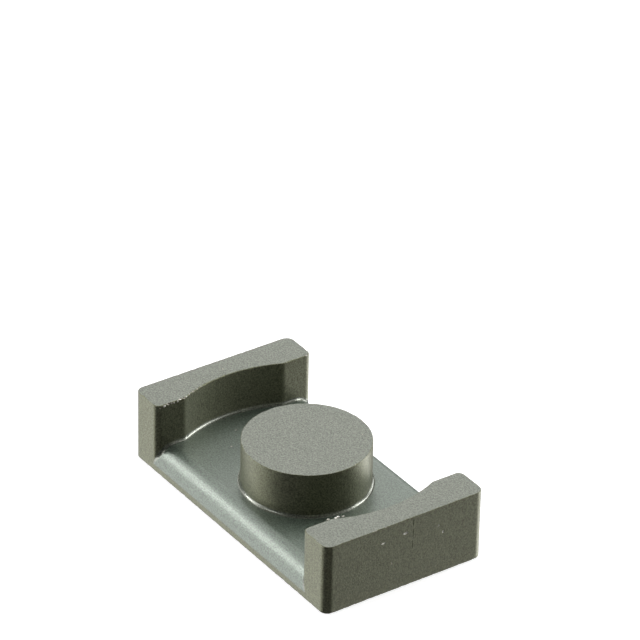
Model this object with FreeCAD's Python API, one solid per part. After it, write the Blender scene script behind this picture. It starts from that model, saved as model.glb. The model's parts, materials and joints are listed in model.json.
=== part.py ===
import FreeCAD, Part
import math
import os
from FreeCAD import Vector

# One half of a low, wide transformer core, pressed and sintered from ferrite as one piece.
# A plate carries a round post at its centre and a leg at each end. The legs are hollowed to
# an arc around the post, so that a round winding fits between them. Millimetres.
# The origin is at the centre of the back face, +X runs along the length, and +Z points from
# the back to the ground mating faces on the legs and the post.

# The pressed block
length = 10.75
width = 5.93
height = 2.46
corner_radius = 0.28

# The plate, legs and post that are left around the winding space
plate_thickness = 0.91
leg_thickness = 1.29
hollow_depth = 0.415
post_diameter = 4.16

# Roundings
plate_edge_radius = 0.67
foot_radius = 0.12
crease_radius = 0.4
leg_corner_radius = 0.2
leg_corner_run_out = 0.35

# How far a cutting shape runs past the block
overrun = 1.0

# Sizes that follow
flat_x = length / 2 - leg_thickness
arc_radius = flat_x + hollow_depth
side_y = width / 2
reach_y = side_y + overrun
top_z = height + overrun
tolerance = 1e-6


def block(size_x, size_y, low, high):
    """A box between two heights, centred on the Z axis."""
    return Part.makeBox(size_x, size_y, high - low, Vector(-size_x / 2, -size_y / 2, low))


def edges_along(shape, direction):
    """The straight edges of a shape that run along a direction."""
    found = []
    for edge in shape.Edges:
        start, end = edge.Vertexes[0].Point, edge.Vertexes[-1].Point
        if abs(abs((end - start).dot(direction)) - edge.Length) < tolerance:
            found.append(edge)
    return found


def middle(edge):
    """The point half-way along an edge."""
    return edge.valueAt((edge.FirstParameter + edge.LastParameter) / 2)


def pressed_block():
    """The solid block, with its four upright corners rounded by the die."""
    blank = block(length, width, 0, height)
    return blank.makeFillet(corner_radius, edges_along(blank, Vector(0, 0, 1)))


def rounded_plate():
    """The plate that is left under the winding, with its two long upper edges rounded."""
    plate = block(length + overrun, width, -overrun, plate_thickness)
    long_edges = edges_along(plate, Vector(1, 0, 0))
    upper = [edge for edge in long_edges if middle(edge).z > 0]
    return plate.makeFillet(plate_edge_radius, upper)


def leg_face():
    """The inner face of the leg at +X, seen from above: flat, crease, arc, crease, flat."""
    crease = Vector(flat_x + crease_radius, 0, 0)
    crease.y = math.sqrt((arc_radius + crease_radius) ** 2 - crease.x ** 2)
    flat_end = Vector(flat_x, crease.y, 0)
    arc_end = crease * (arc_radius / (arc_radius + crease_radius))
    towards_edge = (flat_end + arc_end - crease * 2).normalize()
    crease_top = crease + towards_edge * crease_radius
    flat = Part.makeLine(Vector(flat_x, reach_y, 0), flat_end)
    rounding = Part.Arc(flat_end, crease_top, arc_end).toShape()
    arc_start = Vector(arc_end.x, -arc_end.y, 0)
    arc = Part.Arc(arc_end, Vector(arc_radius, 0, 0), arc_start).toShape()
    across = Vector(0, 1, 0)
    mirrored = [edge.mirror(Vector(), across) for edge in (rounding, flat)]
    return [flat, rounding, arc] + mirrored


def winding_space():
    """What the press leaves open: the channel between the legs, around the post.

    It wraps over the plate's rounded edges, and its lower edges are rounded, which gives the
    post and the legs their feet.
    """
    near_leg = leg_face()
    far_leg = [edge.mirror(Vector(), Vector(1, 0, 0)) for edge in near_leg]
    ends = [
        Part.makeLine(Vector(-flat_x, y, 0), Vector(flat_x, y, 0))
        for y in (-reach_y, reach_y)
    ]
    outline = Part.Wire(Part.sortEdges(near_leg + far_leg + ends)[0])
    channel = Part.Face(outline).extrude(Vector(0, 0, top_z + overrun))
    channel.translate(Vector(0, 0, -overrun))
    post = Part.makeCylinder(post_diameter / 2, top_z + overrun, Vector(0, 0, -overrun))
    space = channel.cut(rounded_plate()).cut(post).removeSplitter()
    return space.makeFillet(foot_radius, foot_edges(space))


def foot_edges(space):
    """The edges where the winding space meets the flat of the plate at the post and legs."""
    flat_y = side_y - plate_edge_radius - tolerance
    found = []
    for edge in space.Edges:
        point = middle(edge)
        if abs(point.z - plate_thickness) < tolerance and abs(point.y) < flat_y:
            found.append(edge)
    return found


def leg_corner():
    """What rounds the leg's inner upright corner at +X +Y.

    The rounding runs out to nothing just above the foot.
    """
    foot_reach = plate_edge_radius + foot_radius
    foot_top = plate_thickness - plate_edge_radius
    foot_top += math.sqrt(foot_reach ** 2 - plate_edge_radius ** 2)
    run_out_end = foot_top + leg_corner_run_out
    corner = Vector(flat_x, side_y, run_out_end)
    on_face = corner - Vector(0, leg_corner_radius, 0)
    on_side = corner + Vector(leg_corner_radius, 0, 0)
    centre = on_side - Vector(0, leg_corner_radius, 0)
    on_arc = centre + (corner - centre).normalize() * leg_corner_radius
    outline = Part.Wire([
        Part.makeLine(on_side, corner),
        Part.makeLine(corner, on_face),
        Part.Arc(on_face, on_arc, on_side).toShape(),
    ])
    upright = Part.Face(outline).extrude(Vector(0, 0, top_z - run_out_end))
    tip = Part.Vertex(Vector(flat_x, side_y, foot_top))
    run_out = Part.makeLoft([outline, tip], True)
    return upright.fuse(run_out)


def four_ways(shape):
    """A shape and its mirror images across the two planes of symmetry."""
    pair = [shape, shape.mirror(Vector(), Vector(1, 0, 0))]
    return pair + [copy.mirror(Vector(), Vector(0, 1, 0)) for copy in pair]


def core_half():
    """The whole half core as one solid."""
    core = pressed_block().cut(winding_space())
    for corner in four_ways(leg_corner()):
        core = core.cut(corner)
    return core.removeSplitter().Solids[0]


os.makedirs("parts", exist_ok=True)
core = core_half()
core.exportStep("parts/core_half.step")
print("core_half valid", core.isValid(), "volume", round(core.Volume, 3), "mm3")
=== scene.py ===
import json
import math
import random

import bmesh
import bpy
import numpy as np
from mathutils import Euler, Matrix, Vector, noise


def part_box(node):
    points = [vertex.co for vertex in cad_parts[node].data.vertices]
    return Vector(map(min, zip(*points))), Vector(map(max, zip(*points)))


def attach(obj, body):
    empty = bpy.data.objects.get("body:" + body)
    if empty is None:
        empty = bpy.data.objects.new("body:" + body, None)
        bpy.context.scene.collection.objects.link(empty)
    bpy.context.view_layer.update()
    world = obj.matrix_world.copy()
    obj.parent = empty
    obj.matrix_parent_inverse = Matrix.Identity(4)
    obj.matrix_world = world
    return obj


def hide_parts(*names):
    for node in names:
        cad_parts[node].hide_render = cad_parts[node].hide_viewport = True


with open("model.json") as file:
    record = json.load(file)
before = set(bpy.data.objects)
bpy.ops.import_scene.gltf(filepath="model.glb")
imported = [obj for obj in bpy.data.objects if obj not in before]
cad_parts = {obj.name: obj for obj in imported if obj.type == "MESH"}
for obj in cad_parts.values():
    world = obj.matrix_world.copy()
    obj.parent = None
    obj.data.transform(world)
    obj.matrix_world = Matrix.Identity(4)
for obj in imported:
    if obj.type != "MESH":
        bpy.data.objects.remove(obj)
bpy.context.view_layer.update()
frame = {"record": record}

# The looks of a small pressed ferrite core half. Shapes are worked out in millimetres and
# scaled to metres at the end. The core is built as four mirrored quarters: upright strips of
# quads follow each outline, a sheet covers the plate, and flat faces close the rest.

MM = 0.001
NODE = "core_half"

# Sizes that the frame gives
END_X, SIDE_Y, TOP_Z = (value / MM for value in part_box(NODE)[1])
POST = next(m for m in frame["record"]["mounts"] if m["name"] == "centre_post")["dims"]
POST_RADIUS = POST["r_mm"]
# How far above the plate the solid's foot rounding ends and the post's straight wall begins
FOOT_HEIGHT = 0.12
PLATE_Z = TOP_Z - POST["length_mm"] - FOOT_HEIGHT

# Sizes of the pressed form that the frame doesn't state
FLAT_X = 4.085
ARC_RADIUS = 4.5
CORNER_RADIUS = 0.28
CREASE_RADIUS = 0.4
LEG_CORNER_RADIUS = 0.2
PLATE_EDGE_RADIUS = 0.67
# A little tighter than the solid's, so that the bright line along the foot is narrow
FOOT_RADIUS = 0.09
# The height at which the plate's long side ends and its rounded edge begins
SIDE_Z = PLATE_Z - PLATE_EDGE_RADIUS

# Worn edges: the narrowest break of each, and how much wider the noise makes it
INNER_BREAK = 0.028
OUTER_BREAK = 0.012
BACK_BREAK = 0.035
EDGE_WEAR = 0.035
# The wear's noise: waves in a millimetre, then how rough it is, the step from each layer of
# waves to the next, and how many layers there are
EDGE_WEAR_WAVES = 5.0
EDGE_WEAR_NOISE = (0.6, 2.2, 4)

# Mesh density
STEP = 0.04
LEAST_STEPS = 2
LEAST_ARC_STEPS = 5
EDGE_ROWS = 3
FOOT_ROWS = 6
WALL_ROWS = 14
SIDE_ROWS = 4
PLATE_EDGE_ROWS = 20
# Points closer than this are one point, and edges sharper than this aren't smoothed over
WELD_DISTANCE = STEP / 400
SHARP_ANGLE = math.radians(32)

# Surfaces: ground on a wheel, pressed against the die, pressed by the punch's face and by its
# polished edge with painted light lifting its colour, worn at an edge with a painted sheen, and
# broken with a painted glint
GROUND, PRESSED, FLOOR, FOOT, WORN_AND_SHEEN, BROKEN_AND_GLINT = range(6)

# Chips out of the far leg's inner edge, bright with the broken faces' painted glint: place and half
# sizes
CHIPS = (
    ((-4.085, -2.67, 2.39), (0.04, 0.050, 0.03)),
    ((-4.085, -2.30, 2.41), (0.04, 0.030, 0.03)),
    ((-4.085, -2.17, 2.42), (0.05, 0.040, 0.04)),
    ((-4.110, -2.07, 2.46), (0.04, 0.060, 0.03)),
    ((-4.110, -1.78, 2.46), (0.04, 0.070, 0.03)),
    ((-4.085, 2.79, 2.46), (0.06, 0.050, 0.03)),
)
# Duller scuffs on the edges and pits in the upper faces, light tan from wear and a painted sheen
SCUFFS = (
    ((-4.085, -2.81, 2.38), (0.04, 0.06, 0.03)),
    ((-4.085, -2.51, 2.44), (0.05, 0.09, 0.04)),
    ((-4.085, -2.39, 2.43), (0.04, 0.05, 0.04)),
    ((-4.110, -1.92, 2.46), (0.05, 0.06, 0.04)),
    ((-4.190, -1.63, 2.46), (0.04, 0.06, 0.04)),
    ((-4.260, -1.45, 2.46), (0.04, 0.08, 0.04)),
    ((-4.320, -1.25, 2.46), (0.03, 0.07, 0.03)),
    ((-4.374, -1.06, 2.46), (0.03, 0.07, 0.03)),
    ((4.120, -1.80, 2.46), (0.05, 0.05, 0.03)),
    ((4.300, -1.17, 2.46), (0.05, 0.07, 0.04)),
    ((5.375, -1.15, 2.46), (0.02, 0.10, 0.02)),
    ((5.375, -0.75, 2.46), (0.02, 0.06, 0.03)),
    ((-4.870, 0.06, 2.46), (0.035, 0.04, 0.015)),
    ((0.730, 1.62, 2.46), (0.035, 0.04, 0.015)),
    ((-3.630, -0.24, 0.91), (0.035, 0.04, 0.020)),
    ((-2.910, -0.89, 0.91), (0.035, 0.04, 0.020)),
)
# The hairline in the near end face, from the top edge down
HAIRLINE = (
    ((5.375, 0.28, 2.26), (0.03, 0.014, 0.19)),
    ((5.375, 0.28, 1.86), (0.03, 0.014, 0.19)),
    ((5.375, 0.27, 1.46), (0.03, 0.012, 0.19)),
)
# Specks in the near end face, bright with the broken faces' painted glint
SPECKS = (
    ((5.375, 0.00, 1.96), (0.030, 0.10, 0.045)),
    ((5.375, -0.84, 1.89), (0.025, 0.09, 0.035)),
    ((5.375, 1.24, 1.79), (0.025, 0.04, 0.040)),
    ((5.375, 1.41, 1.50), (0.025, 0.04, 0.060)),
    ((5.375, -0.51, 1.03), (0.020, 0.02, 0.040)),
)
# Crumbs and flakes that cling to the legs' inner edges, bright with the broken faces' painted glint
# and duller with the worn faces' painted sheen
FLAKES = (
    ((-4.075, -2.67, 2.420), (0.025, 0.05, 0.025), BROKEN_AND_GLINT),
    ((-4.080, -2.31, 2.425), (0.015, 0.02, 0.020), BROKEN_AND_GLINT),
    ((-4.080, -2.17, 2.430), (0.020, 0.03, 0.020), BROKEN_AND_GLINT),
    ((4.030, -1.98, 2.430), (0.040, 0.05, 0.020), WORN_AND_SHEEN),
    ((4.105, -1.74, 2.435), (0.040, 0.05, 0.024), BROKEN_AND_GLINT),
    ((4.080, -1.64, 2.435), (0.040, 0.05, 0.024), BROKEN_AND_GLINT),
    ((4.150, -1.50, 2.440), (0.030, 0.06, 0.012), WORN_AND_SHEEN),
)
# Smaller nicks, spread over the edges at random, worn faces with a painted sheen: how many are
# tried, and their half sizes
NICK_COUNT = 90
NICK_SIZES = (0.008, 0.03)
# A lump starts as a ball of this fineness. How far its points then lie from its middle, as
# shares of its half sizes, and how far a nick keeps from each other lump, as a share of its size
LUMP_SUBDIVISIONS = 2
LUMP_ROUGHNESS = (0.7, 1.05)
LUMP_CLEARANCE = 1.1
# Where the random draws start
LOSS_SEED = 11
FLAKE_SEED = 5

# The ceramic's grain: noise waves in a millimetre for its colour and its relief, the depth of
# the relief, and the part of the noise's range over which the colour goes from dark to light
MOTTLE_WAVES = 20.0
GRAIN_WAVES = 16.0
GRAIN_DEPTH = 0.012
NOISE_DETAIL = 1
NOISE_ROUGHNESS = 0.6
MOTTLE_RANGE = (0.3, 0.7)

# The materials, in the order of the surfaces: name, colour, tint of the gloss, roughness, index
# of refraction, how far the grains' colours differ, and how strong their relief is
FERRITES = (
    ("ground ferrite", (0.148, 0.156, 0.132), (0.94, 1, 0.88), 0.68, 1.67, 0.41, 1.0),
    ("pressed ferrite", (0.066, 0.069, 0.048), (0.96, 1, 0.62), 0.42, 1.78, 0.75, 0.5),
    ("punch-pressed ferrite", (0.045, 0.061, 0.045), (0.91, 1, 0.90), 0.42, 2.14, 1.0, 0.5),
    # The foot's colour is lifted above the plate face's, as painted light in the hollow; its gloss
    # is its own
    ("polished ferrite with painted light", (0.098, 0.106, 0.085), (0.96, 1, 0.88), 0.18, 2.10, 0.5, 0.5),
    # The worn faces' light tan is partly wear and partly a painted sheen
    ("worn ferrite with painted sheen", (0.28, 0.26, 0.20), (1, 1, 1), 0.40, 2.00, 0.7, 1.0),
    # The broken faces' near-white is a painted glint on the real chips, specks and flakes
    ("broken ferrite with painted glint", (0.75, 0.73, 0.66), (1, 1, 1), 0.30, 2.00, 0.7, 1.0),
)

# The floor, in metres: its width, and how far it stays clear of the back face, which would
# otherwise lie in the same plane
FLOOR_SIZE = 4.0
FLOOR_GAP = 0.005 * MM
# Its grey for the light on the core, then the glow and the grey that the camera sees, which
# add up to white outside the core's shadow
FLOOR_GREY = 0.25
FLOOR_GLOW = 0.7
FLOOR_SEEN_GREY = 0.6
# The world's even light on the core
AMBIENT = 0.02

# The camera, fitted to the object's edges in the photograph
IMAGE_SIZE = 640
SENSOR = 36.0
FOCAL_PIXELS = 4656.26
AZIMUTH, ELEVATION, ROLL = 54.893, 31.498, 1.219
DISTANCE = 146.41
AIM_Z = 1.173
AIM_PIXEL = (306.32, 473.36)
# The nearest and furthest distance it sees, as shares of its own distance
CLIP_SHARES = (0.1, 100)

# The lamps: azimuth and elevation in degrees, with azimuth 0 at -Y and 90 at +X, then width in
# metres and brightness. Low ones stand for the light off a pale table.
LAMP_DISTANCE = 0.25
LAMPS = (
    ("left", -55, 25, 0.075, 12.0),
    ("left high", -55, 38, 0.075, 4.7),
    ("left higher", -70, 44, 0.10, 2.3),
    ("left wide", -40, 10, 0.14, 2.9),
    ("left under", -60, -30, 0.16, 2.0),
    ("front high", -10, 40, 0.12, 2.5),
    ("front low", -25, -15, 0.14, 3.4),
    ("corner under", 60, -30, 0.14, 0.4),
    ("near under", 125, -30, 0.16, 0.63),
    ("near right", 130, 34, 0.10, 1.2),
    ("right mid", 156, 34, 0.06, 10.0),
    ("right wide", 145, 15, 0.12, 3.9),
    ("right under", 170, -35, 0.16, 4.5),
    ("right high", 177, 38, 0.10, 8.5),
    ("right low", 190, 5, 0.12, 4.6),
    ("above", 220, 64, 0.14, 3.6),
    ("back", 235, 12, 0.14, 2.2),
    ("back high", 255, 44, 0.18, 1.3),
)


def count_for(distance, least):
    """How many steps of about STEP a distance takes."""
    return max(least, math.ceil(distance / STEP))


def arc(centre, radius, start, end, outward=1):
    """Rows of x, y, normal x, normal y on an arc seen from above; the normal leaves the ferrite."""
    steps = count_for(radius * abs(end - start), LEAST_ARC_STEPS)
    turn = np.linspace(start, end, steps + 1)
    away = np.column_stack([np.cos(turn), np.sin(turn)])
    return np.column_stack([np.array(centre) + radius * away, outward * away])


def straight(start, end, normal):
    """The same rows on a straight line."""
    steps = count_for(math.dist(start, end), LEAST_STEPS)
    points = np.linspace(start, end, steps + 1)
    return np.column_stack([points, np.tile(normal, (steps + 1, 1))])


def join(*stretches):
    """One outline from stretches that each start where the last one ended."""
    rest = [stretch[1:] for stretch in stretches[1:]]
    return np.vstack([stretches[0], *rest])


def plate_turns():
    """The angles of the rows over the plate's long edge, from its side (0) to its flat."""
    return np.linspace(0, math.pi / 2, PLATE_EDGE_ROWS + 1)


def leg_inner_outline():
    """From the middle of the arc to the leg's long side.

    The last stretch, beside the plate's rounded edge, has one point for each row over that
    edge. Also returns how full the foot rounding is at each point, and how far each point lies
    past the start of the rounded edge.
    """
    crease_x = FLAT_X + CREASE_RADIUS
    crease_y = math.sqrt((ARC_RADIUS + CREASE_RADIUS) ** 2 - crease_x ** 2)
    turn = math.atan2(crease_y, crease_x)
    edge_start = SIDE_Y - PLATE_EDGE_RADIUS
    over_flat = join(
        arc((0, 0), ARC_RADIUS, 0, turn, outward=-1),
        arc((crease_x, crease_y), CREASE_RADIUS, math.pi + turn, math.pi),
        straight((FLAT_X, crease_y), (FLAT_X, edge_start), (-1, 0)),
    )
    past_start = PLATE_EDGE_RADIUS * np.cos(plate_turns()[-2::-1])
    corner_start = PLATE_EDGE_RADIUS - LEG_CORNER_RADIUS
    in_corner = np.clip(past_start - corner_start, 0, LEG_CORNER_RADIUS)
    sine = in_corner / LEG_CORNER_RADIUS
    cosine = np.sqrt(1 - sine ** 2)
    x = FLAT_X + LEG_CORNER_RADIUS * (1 - cosine)
    over_edge = np.column_stack([x, edge_start + past_start, -cosine, sine])
    outline = np.vstack([over_flat, over_edge])
    fullness = np.concatenate([np.ones(len(over_flat)), cosine])
    past = np.concatenate([np.zeros(len(over_flat)), past_start])
    return outline, fullness, past


def leg_outer_outline():
    """From the leg's inner upright corner, round its outer corner, to the middle of its end."""
    start = FLAT_X + LEG_CORNER_RADIUS
    turn_x, turn_y = END_X - CORNER_RADIUS, SIDE_Y - CORNER_RADIUS
    return join(
        straight((start, SIDE_Y), (turn_x, SIDE_Y), (0, 1)),
        arc((turn_x, turn_y), CORNER_RADIUS, math.pi / 2, 0),
        straight((END_X, turn_y), (END_X, 0), (1, 0)),
    )


def post_outline():
    """A quarter of the post's circle."""
    return arc((0, 0), POST_RADIUS, 0, math.pi / 2)


class Quarter:
    """Collects the faces of one quarter of the core, mirrored to its own side."""

    def __init__(self, mesh, mirror_x, mirror_y):
        self.mesh = mesh
        self.mirror = np.array([mirror_x, mirror_y, 1])

    def edge_break(self, outline, z, least):
        """The worn width of an edge at each point of an outline, from noise in space."""
        widths = []
        for x, y in outline[:, :2]:
            place = Vector((x, y, z) * self.mirror) * EDGE_WEAR_WAVES
            wear = max(0.0, noise.fractal(place, *EDGE_WEAR_NOISE))
            widths.append(least + EDGE_WEAR * wear)
        return np.array(widths)

    def grid(self, rows, surface):
        """Quads between rows of points."""
        made = [self.points(row) for row in rows]
        for upper, lower in zip(made, made[1:]):
            for i in range(len(upper) - 1):
                corners = (upper[i], upper[i + 1], lower[i + 1], lower[i])
                self.face(corners, surface)

    def polygon(self, loop, surface):
        """One flat face inside a loop of points."""
        self.face(self.points(loop), surface)

    def points(self, row):
        """Mesh points from a row of places."""
        return [self.mesh.verts.new(point) for point in np.asarray(row) * self.mirror]

    def face(self, corners, surface):
        """One smooth face of a surface."""
        face = self.mesh.faces.new(corners)
        face.material_index = surface
        face.smooth = True


def at_height(outline, z):
    """The points of an outline at a height, which may differ from point to point."""
    heights = np.broadcast_to(z, len(outline))
    return np.column_stack([outline[:, :2], heights])


def broken_edge(outline, width, z, way):
    """Rows round an edge, from the flat face at z to the wall. way is 1 for an upper edge."""
    rows = []
    for angle in np.linspace(0, math.pi / 2, EDGE_ROWS + 1):
        inset = width * (1 - math.sin(angle))
        row = at_height(outline, z - way * width * (1 - math.cos(angle)))
        row[:, :2] -= outline[:, 2:] * inset[:, None]
        rows.append(row)
    return rows


def wall(outline, upper, lower, steps):
    """Rows down a wall, without the first."""
    shares = np.linspace(0, 1, steps + 1)[1:]
    return [at_height(outline, upper + (lower - upper) * share) for share in shares]


def plate_height(past, lift):
    """How high a surface lies that is lifted off the plate, past the start of its rounded edge."""
    reach = PLATE_EDGE_RADIUS + lift
    return SIDE_Z + np.sqrt(np.maximum(reach ** 2 - past ** 2, 0))


def foot(outline, fullness, past):
    """Rows over the concave rounding at the bottom of a wall, from the wall to the plate.

    Over the plate's rounded edge the foot reaches out along the length alone.
    """
    rows = []
    towards = outline[:, 2:].copy()
    towards[past > 0] = (-1, 0)
    for angle in np.linspace(math.pi / 2, 0, FOOT_ROWS + 1):
        out = FOOT_RADIUS * fullness * (1 - math.sin(angle))
        lift = FOOT_RADIUS * fullness * (1 - math.cos(angle))
        row = at_height(outline, plate_height(past, lift))
        row[:, :2] += towards * out[:, None]
        rows.append(row)
    return rows


def build_leg(quarter):
    """Half a leg. Returns the last rows of its foot and of its broken edge at the back."""
    inner, fullness, past = leg_inner_outline()
    inner_width = quarter.edge_break(inner, TOP_Z, INNER_BREAK)
    inner_top = broken_edge(inner, inner_width, TOP_Z, 1)
    inner_foot = foot(inner, fullness, past)
    inner_wall = wall(inner, inner_top[-1][:, 2], inner_foot[0][:, 2], WALL_ROWS)
    quarter.grid(inner_top + inner_wall, PRESSED)
    quarter.grid(inner_foot, FOOT)

    outer = leg_outer_outline()
    outer_width = quarter.edge_break(outer, TOP_Z, OUTER_BREAK)
    back_width = quarter.edge_break(outer, 0, BACK_BREAK)
    outer_top = broken_edge(outer, outer_width, TOP_Z, 1)
    outer_back = broken_edge(outer, back_width, 0, -1)[::-1]
    upper_wall = wall(outer, outer_top[-1][:, 2], SIDE_Z, WALL_ROWS)
    lower_wall = wall(outer, SIDE_Z, outer_back[0][:, 2], SIDE_ROWS)
    quarter.grid(outer_top + upper_wall + lower_wall + outer_back[1:], PRESSED)
    quarter.polygon(np.vstack([inner_top[0], outer_top[0][1:]]), GROUND)
    return inner_foot[-1], outer_back[-1]


def build_plate(quarter, leg_foot, leg_back):
    """A quarter of the plate, without the flat of its upper side. Returns where that ends."""
    tip_x = FLAT_X + LEG_CORNER_RADIUS
    side = straight((0, SIDE_Y), (tip_x, SIDE_Y), (0, 1))
    side_width = quarter.edge_break(side, 0, BACK_BREAK)
    side_back = broken_edge(side, side_width, 0, -1)[::-1]
    side_wall = wall(side, SIDE_Z, side_back[0][:, 2], SIDE_ROWS)
    quarter.grid([at_height(side, SIDE_Z)] + side_wall + side_back[1:], PRESSED)
    centre = [(0, 0, 0)]
    quarter.polygon(np.vstack([side_back[-1], leg_back[1:], centre]), GROUND)

    beside_leg = leg_foot[-PLATE_EDGE_ROWS - 1:][::-1]
    shares = np.linspace(0, 1, len(side))[:, None]
    rows = [(0, y, z) + shares * (x, 0, 0) for x, y, z in beside_leg]
    quarter.grid(rows, FLOOR)
    return rows[-1]


def build_post(quarter):
    """A quarter of the post. Returns the last row of its foot."""
    around = post_outline()
    width = quarter.edge_break(around, TOP_Z, OUTER_BREAK)
    post_top = broken_edge(around, width, TOP_Z, 1)
    post_foot = foot(around, np.ones(len(around)), np.zeros(len(around)))
    post_wall = wall(around, post_top[-1][:, 2], post_foot[0][:, 2], WALL_ROWS)
    quarter.grid(post_top + post_wall, PRESSED)
    quarter.grid(post_foot, FOOT)
    quarter.polygon(np.vstack([post_top[0], [(0, 0, TOP_Z)]]), GROUND)
    return post_foot[-1]


def build_quarter(quarter):
    """A leg's half, a quarter of the plate, a quarter of the post, and the flat between them."""
    leg_foot, leg_back = build_leg(quarter)
    flat_end = build_plate(quarter, leg_foot, leg_back)
    post_foot = build_post(quarter)
    leg_side = leg_foot[:-PLATE_EDGE_ROWS]
    quarter.polygon(np.vstack([leg_side, flat_end[-2::-1], post_foot[::-1]]), FLOOR)


def core_mesh():
    """The whole surface, in millimetres, as one closed mesh."""
    mesh = bmesh.new()
    for mirror_x in (1, -1):
        for mirror_y in (1, -1):
            build_quarter(Quarter(mesh, mirror_x, mirror_y))
    bmesh.ops.remove_doubles(mesh, verts=mesh.verts, dist=WELD_DISTANCE)
    bmesh.ops.recalc_face_normals(mesh, faces=mesh.faces)
    return mesh


def lump(mesh, place, reach, surface, dice):
    """One irregular, faceted lump, to be cut out of the core or left on it."""
    ball = bmesh.ops.create_icosphere(mesh, subdivisions=LUMP_SUBDIVISIONS, radius=1)
    made = ball["verts"]
    turn = Euler([dice.uniform(0, math.tau) for _ in range(3)]).to_matrix()
    for vertex in made:
        rough = turn @ vertex.co * dice.uniform(*LUMP_ROUGHNESS)
        vertex.co = Vector(place) + rough * Vector(reach)
    for face in {face for vertex in made for face in vertex.link_faces}:
        face.material_index = surface


def edge_place(dice):
    """A random place on an edge of the ground faces."""
    side = straight((0, SIDE_Y), (FLAT_X, SIDE_Y), (0, 1))
    upper = (leg_inner_outline()[0], leg_outer_outline(), post_outline())
    lower = (leg_outer_outline(), side)
    z = dice.choice((TOP_Z, TOP_Z, 0))
    x, y = dice.choice(dice.choice(upper if z else lower))[:2]
    return x * dice.choice((1, -1)), y * dice.choice((1, -1)), z


def losses():
    """Everything that has broken out of the core, as one mesh of lumps that don't touch."""
    dice = random.Random(LOSS_SEED)
    mesh = bmesh.new()
    taken = []
    marks = ((CHIPS, BROKEN_AND_GLINT), (SCUFFS, WORN_AND_SHEEN), (HAIRLINE, PRESSED), (SPECKS, BROKEN_AND_GLINT))
    for places, surface in marks:
        for place, reach in places:
            taken.append((place, max(reach)))
            lump(mesh, place, reach, surface, dice)
    for _ in range(NICK_COUNT):
        place = edge_place(dice)
        reach = [dice.uniform(*NICK_SIZES) for _ in range(3)]
        far = max(reach)
        if all(math.dist(place, other) > far + size * LUMP_CLEARANCE for other, size in taken):
            taken.append((place, far))
            lump(mesh, place, reach, WORN_AND_SHEEN, dice)
    return mesh


def flakes():
    """What still clings to the core, as one mesh."""
    dice = random.Random(FLAKE_SEED)
    mesh = bmesh.new()
    for place, reach, surface in FLAKES:
        lump(mesh, place, reach, surface, dice)
    return mesh


def object_from(mesh, name, materials):
    """An object, still in millimetres, from a mesh."""
    data = bpy.data.meshes.new(name)
    mesh.to_mesh(data)
    mesh.free()
    for material in materials:
        data.materials.append(material)
    made = bpy.data.objects.new(name, data)
    bpy.context.scene.collection.objects.link(made)
    return made


def apply_modifiers(piece):
    """Turns what an object's modifiers make into its mesh."""
    depsgraph = bpy.context.evaluated_depsgraph_get()
    data = bpy.data.meshes.new_from_object(piece.evaluated_get(depsgraph))
    piece.modifiers.clear()
    piece.data = data


def break_out(core, cutter):
    """Cuts one object out of another. The new faces keep the cutter's surface."""
    cut = core.modifiers.new("breaks", "BOOLEAN")
    cut.operation = "DIFFERENCE"
    cut.solver = "EXACT"
    cut.material_mode = "TRANSFER"
    cut.object = cutter
    apply_modifiers(core)
    bpy.data.objects.remove(cutter)


def join_to(core, piece):
    """Adds a piece's mesh to the core's."""
    mesh = bmesh.new()
    mesh.from_mesh(core.data)
    mesh.from_mesh(piece.data)
    mesh.to_mesh(core.data)
    mesh.free()
    bpy.data.objects.remove(piece)


def shade(core):
    """Smooth up to the sharp edges, with flat faces kept flat and broken ones faceted.

    It comes before the change to metres, because the weighting takes tiny faces as equal.
    """
    core.data.shade_smooth()
    core.data.set_sharp_from_angle(angle=SHARP_ANGLE)
    for face in core.data.polygons:
        if face.material_index in (WORN_AND_SHEEN, BROKEN_AND_GLINT):
            face.use_smooth = False
    weighted = core.modifiers.new("weighted normals", "WEIGHTED_NORMAL")
    weighted.keep_sharp = True
    apply_modifiers(core)


def dress_core(materials):
    """The dressed core, in place of the frame's plain solid."""
    core = object_from(core_mesh(), "core", materials)
    break_out(core, object_from(losses(), "losses", materials))
    join_to(core, object_from(flakes(), "flakes", materials))
    shade(core)
    core.data.transform(Matrix.Scale(MM, 4))
    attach(core, "root")
    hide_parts(NODE)


def noise_texture(tree, waves):
    """Noise in the core's own space."""
    place = tree.nodes.new("ShaderNodeTexCoord")
    texture = tree.nodes.new("ShaderNodeTexNoise")
    texture.inputs["Scale"].default_value = waves / MM
    texture.inputs["Detail"].default_value = NOISE_DETAIL
    texture.inputs["Roughness"].default_value = NOISE_ROUGHNESS
    tree.links.new(place.outputs["Object"], texture.inputs["Vector"])
    return texture.outputs["Fac"]


def ferrite(name, colour, gloss_tint, roughness, ior, mottle, relief):
    """A fine-grained ceramic, lighter and darker from grain to grain."""
    made = bpy.data.materials.new(name)
    made.use_nodes = True
    tree = made.node_tree
    shader = tree.nodes["Principled BSDF"]
    shader.inputs["IOR"].default_value = ior
    shader.inputs["Roughness"].default_value = roughness
    shader.inputs["Specular Tint"].default_value = (*gloss_tint, 1)

    ramp = tree.nodes.new("ShaderNodeValToRGB")
    dark, light = ramp.color_ramp.elements
    dark.position, light.position = MOTTLE_RANGE
    dark.color = [*(share * (1 - mottle) for share in colour), 1]
    light.color = [*(share * (1 + mottle) for share in colour), 1]
    tree.links.new(noise_texture(tree, MOTTLE_WAVES), ramp.inputs["Fac"])
    tree.links.new(ramp.outputs["Color"], shader.inputs["Base Color"])

    grain = tree.nodes.new("ShaderNodeBump")
    grain.inputs["Strength"].default_value = relief
    grain.inputs["Distance"].default_value = GRAIN_DEPTH * MM
    tree.links.new(noise_texture(tree, GRAIN_WAVES), grain.inputs["Height"])
    tree.links.new(grain.outputs["Normal"], shader.inputs["Normal"])
    return made


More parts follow.
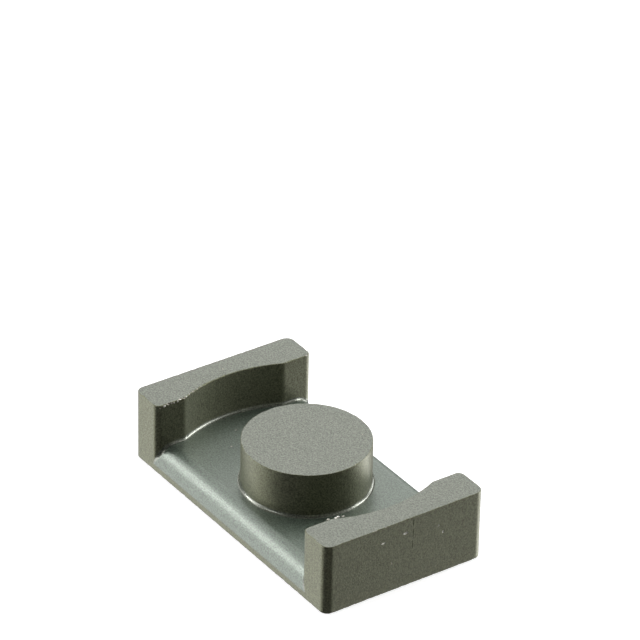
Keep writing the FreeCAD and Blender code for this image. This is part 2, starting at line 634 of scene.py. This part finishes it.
def grey(value):
    """A neutral colour."""
    return (value, value, value, 1)


def seen_by_camera(tree, plain, seen):
    """One shader for the camera, and another for the light that reaches the core."""
    path = tree.nodes.new("ShaderNodeLightPath")
    mix = tree.nodes.new("ShaderNodeMixShader")
    tree.links.new(path.outputs["Is Camera Ray"], mix.inputs[0])
    tree.links.new(plain, mix.inputs[1])
    tree.links.new(seen, mix.inputs[2])
    return mix.outputs["Shader"]


def floor_material():
    """White to the camera, with the core's soft shadow on it, and plain grey otherwise."""
    made = bpy.data.materials.new("floor")
    made.use_nodes = True
    tree = made.node_tree
    nodes = tree.nodes
    nodes.remove(nodes["Principled BSDF"])
    plain = nodes.new("ShaderNodeBsdfDiffuse")
    plain.inputs["Color"].default_value = grey(FLOOR_GREY)
    glow = nodes.new("ShaderNodeEmission")
    glow.inputs["Strength"].default_value = FLOOR_GLOW
    shadowed = nodes.new("ShaderNodeBsdfDiffuse")
    shadowed.inputs["Color"].default_value = grey(FLOOR_SEEN_GREY)
    both = nodes.new("ShaderNodeAddShader")
    tree.links.new(glow.outputs["Emission"], both.inputs[0])
    tree.links.new(shadowed.outputs["BSDF"], both.inputs[1])
    surface = seen_by_camera(tree, plain.outputs["BSDF"], both.outputs["Shader"])
    tree.links.new(surface, nodes["Material Output"].inputs["Surface"])
    return made


def make_floor():
    """A wide plain floor. It lets the lamps under it light the core, and reflects no light."""
    data = bpy.data.meshes.new("floor")
    half = FLOOR_SIZE / 2
    corners = [(-half, -half, 0), (half, -half, 0), (half, half, 0), (-half, half, 0)]
    data.from_pydata(corners, [], [(0, 1, 2, 3)])
    data.materials.append(floor_material())
    floor = bpy.data.objects.new("floor", data)
    floor.location.z = -FLOOR_GAP
    bpy.context.scene.collection.objects.link(floor)
    floor.visible_diffuse = False
    floor.visible_glossy = False
    floor.visible_shadow = False


def make_world():
    """White to the camera, and a faint even light on the core."""
    world = bpy.data.worlds.new("world")
    bpy.context.scene.world = world
    world.use_nodes = True
    tree = world.node_tree
    plain = tree.nodes["Background"]
    plain.inputs["Color"].default_value = grey(1)
    plain.inputs["Strength"].default_value = AMBIENT
    seen = tree.nodes.new("ShaderNodeBackground")
    seen.inputs["Color"].default_value = grey(1)
    surface = seen_by_camera(tree, plain.outputs["Background"], seen.outputs["Background"])
    tree.links.new(surface, tree.nodes["World Output"].inputs["Surface"])


def direction(azimuth, elevation):
    """The unit vector towards an azimuth and an elevation in degrees."""
    turn, rise = math.radians(azimuth), math.radians(elevation)
    return Vector((
        math.sin(turn) * math.cos(rise),
        -math.cos(turn) * math.cos(rise),
        math.sin(rise),
    ))


def make_camera():
    """The camera of the photograph, with the middle of the core at its own pixel."""
    back = direction(AZIMUTH, ELEVATION)
    level = direction(AZIMUTH + 90, 0)
    upright = back.cross(level)
    roll = math.radians(ROLL)
    right = math.cos(roll) * level + math.sin(roll) * upright
    up = math.cos(roll) * upright - math.sin(roll) * level
    aside, below = (
        (pixel - IMAGE_SIZE / 2) / FOCAL_PIXELS * DISTANCE
        for pixel in AIM_PIXEL
    )
    place = Vector((0, 0, AIM_Z)) - aside * right + below * up + DISTANCE * back
    data = bpy.data.cameras.new("camera")
    data.sensor_width = SENSOR
    data.lens = FOCAL_PIXELS * SENSOR / IMAGE_SIZE
    data.clip_start, data.clip_end = (share * DISTANCE * MM for share in CLIP_SHARES)
    camera = bpy.data.objects.new("camera", data)
    turn = Matrix((right, up, back)).transposed()
    camera.matrix_world = Matrix.LocRotScale(place * MM, turn.to_quaternion(), None)
    bpy.context.scene.collection.objects.link(camera)
    bpy.context.scene.camera = camera


def softbox(name, azimuth, elevation, size, radiance):
    """A square lamp that looks at the core and that the camera doesn't see.

    The power grows with its area, so that its size leaves its brightness as it is.
    """
    data = bpy.data.lights.new(name, "AREA")
    data.shape = "SQUARE"
    data.size = size
    data.energy = math.pi * size ** 2 * radiance
    lamp = bpy.data.objects.new(name, data)
    away = direction(azimuth, elevation)
    facing = away.to_track_quat("Z", "Y")
    lamp.matrix_world = Matrix.LocRotScale(away * LAMP_DISTANCE, facing, None)
    lamp.visible_camera = False
    bpy.context.scene.collection.objects.link(lamp)


bpy.context.scene.view_settings.view_transform = "Standard"
dress_core([ferrite(*row) for row in FERRITES])
make_camera()
make_floor()
make_world()
for lamp_row in LAMPS:
    softbox(*lamp_row)
